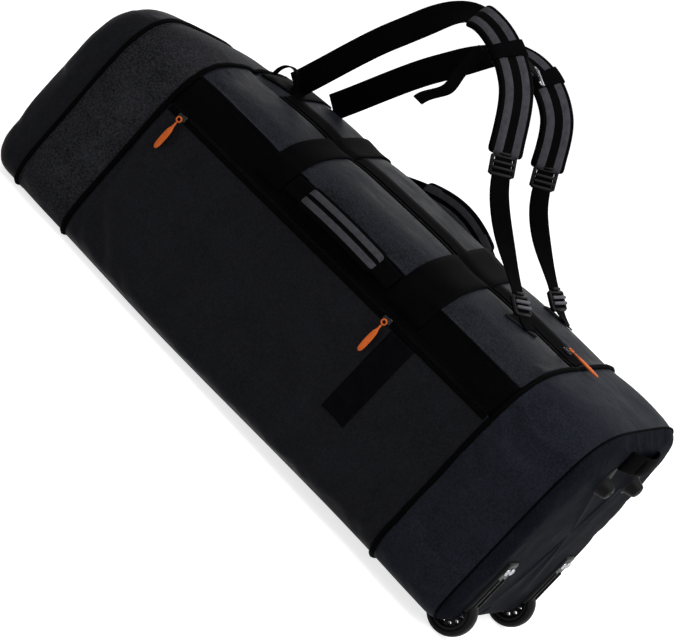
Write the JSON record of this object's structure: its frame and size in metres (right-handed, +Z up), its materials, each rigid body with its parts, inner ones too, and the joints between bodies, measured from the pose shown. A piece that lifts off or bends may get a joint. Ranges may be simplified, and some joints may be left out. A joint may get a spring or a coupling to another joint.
{
  "type": "rolling duffel bag",
  "caption": "Soft rolling duffel bag lying on its base, with a zipped lid, backpack straps, carry handles, end handles and wheels in housings.",
  "frame": {"origin": "middle of the overall length and width, on the floor", "axes": "+X to the wheel end, -Y the near side with the lid zip, +Z up"},
  "size_m": [0.886, 0.3539, 0.5794],
  "materials": {
    "coated_polyester": "matte coated weave",
    "heather_polyester": "heathered twill",
    "lid_polyester": "lightly creased coated weave",
    "black_webbing": "ribbed webbing",
    "grey_spacer_mesh": "textured mesh",
    "orange_rubber": "moulded",
    "black_plastic": "moulded",
    "wheel_rubber": "smooth tread",
    "bright_steel": "bright",
    "stiffener_board": "plain board"
  },
  "bodies": {
    "shell": {"head_end_cap": "coated_polyester", "head_pocket_band": "heather_polyester", "bottom_panel": "coated_polyester", "near_side_panel": "coated_polyester", "far_side_panel": "coated_polyester", "wheel_end_gusset": "lid_polyester", "wheel_end_panel": "lid_polyester", "base_board": "stiffener_board", "wheel_end_board": "stiffener_board", "near_zip_tape": "black_webbing", "side_webbing_leg": "black_webbing", "near_wheel_housing": "black_plastic", "near_axle": "bright_steel", "far_wheel_housing": "black_plastic", "far_axle": "bright_steel", "near_end_foot": "wheel_rubber", "far_end_foot": "wheel_rubber"},
    "lid": {"near_shoulder_band": "black_webbing", "far_shoulder_band": "black_webbing", "lid_panel": "lid_polyester", "lid_zip_tape": "black_webbing", "lid_strap_a": "black_webbing", "lid_strap_b": "black_webbing", "harness_yoke": "black_webbing", "hang_loop": "black_webbing", "near_upper_webbing": "black_webbing", "near_shoulder_pad": "grey_spacer_mesh", "near_adjuster": "black_plastic", "near_lower_webbing": "black_webbing", "near_ladder_lock": "black_plastic", "near_strap_tab": "grey_spacer_mesh", "far_upper_webbing": "black_webbing", "far_shoulder_pad": "grey_spacer_mesh", "far_adjuster": "black_plastic", "far_lower_webbing": "black_webbing", "far_ladder_lock": "black_plastic", "far_strap_tab": "grey_spacer_mesh", "sternum_strap": "black_webbing", "sternum_ring": "bright_steel", "near_keeper": "black_webbing", "far_keeper": "black_webbing", "sternum_tail": "black_webbing"},
    "near_handle": {"near_handle_webbing": "black_webbing", "near_handle_grip": "grey_spacer_mesh"},
    "far_handle": {"far_handle_webbing": "black_webbing", "far_handle_grip": "grey_spacer_mesh"},
    "head_handle": {"head_pull_handle": "black_webbing"},
    "end_handle": {"wheel_end_handle": "black_webbing"},
    "near_wheel": {"near_tyre": "wheel_rubber", "near_hub": "black_plastic", "near_bearing": "bright_steel"},
    "far_wheel": {"far_tyre": "wheel_rubber", "far_hub": "black_plastic", "far_bearing": "bright_steel"},
    "slider_1": {"side_slider_1": "bright_steel"},
    "pull_1": {"side_pull_1": "orange_rubber"},
    "slider_2": {"side_slider_2": "bright_steel"},
    "pull_2": {"side_pull_2": "orange_rubber"},
    "slider_3": {"lid_slider": "bright_steel"},
    "pull_3": {"lid_pull": "orange_rubber"}
  },
  "joints": [
    {"name": "lid_hinge", "type": "hinge", "parent": "shell", "child": "lid", "pos_m": [0, 0.1688, 0.238], "axis": [-1, 0, 0], "range_deg": [0, 100]},
    {"name": "near_handle_swing", "type": "hinge", "parent": "lid", "child": "near_handle", "pos_m": [-0.0015, -0.1509, 0.285], "axis": [-0.9996, 0, -0.03], "range_deg": [0, 90]},
    {"name": "far_handle_swing", "type": "hinge", "parent": "lid", "child": "far_handle", "pos_m": [-0.0015, 0.1594, 0.2864], "axis": [-1, 0, 0], "range_deg": [0, 85]},
    {"name": "head_handle_swing", "type": "hinge", "parent": "shell", "child": "head_handle", "pos_m": [-0.4216, 0, 0.154], "axis": [0, 1, 0], "range_deg": [0, 80]},
    {"name": "end_handle_swing", "type": "hinge", "parent": "shell", "child": "end_handle", "pos_m": [0.4246, 0, 0.319], "axis": [0, -1, 0], "range_deg": [0, 80]},
    {"name": "side_slider_1_slide", "type": "slide", "parent": "shell", "child": "slider_1", "axis": [0.9996, 0, 0.03], "range_m": [0, 0.12]},
    {"name": "side_pull_1_swing", "type": "hinge", "parent": "slider_1", "child": "pull_1", "pos_m": [-0.253, -0.1778, 0.2262], "axis": [0, 1, 0], "range_deg": [-75, 75]},
    {"name": "side_slider_2_slide", "type": "slide", "parent": "shell", "child": "slider_2", "axis": [0.9996, 0, 0.03], "range_m": [-0.12, 0.09]},
    {"name": "side_pull_2_swing", "type": "hinge", "parent": "slider_2", "child": "pull_2", "pos_m": [0.12, -0.1779, 0.2374], "axis": [0, 1, 0], "range_deg": [-75, 75]},
    {"name": "lid_slider_slide", "type": "slide", "parent": "lid", "child": "slider_3", "axis": [0.999, 0, 0.044], "range_m": [-0.09, 0]},
    {"name": "lid_pull_swing", "type": "hinge", "parent": "slider_3", "child": "pull_3", "pos_m": [0.271, -0.02, 0.3431], "axis": [0, -1, 0], "range_deg": [0, 150]},
    {"name": "near_wheel_spin", "type": "hinge", "parent": "shell", "child": "near_wheel", "pos_m": [0.411, -0.112, 0.032], "axis": [0, 1, 0], "continuous": true},
    {"name": "far_wheel_spin", "type": "hinge", "parent": "shell", "child": "far_wheel", "pos_m": [0.411, 0.112, 0.032], "axis": [0, 1, 0], "continuous": true}
  ]
}
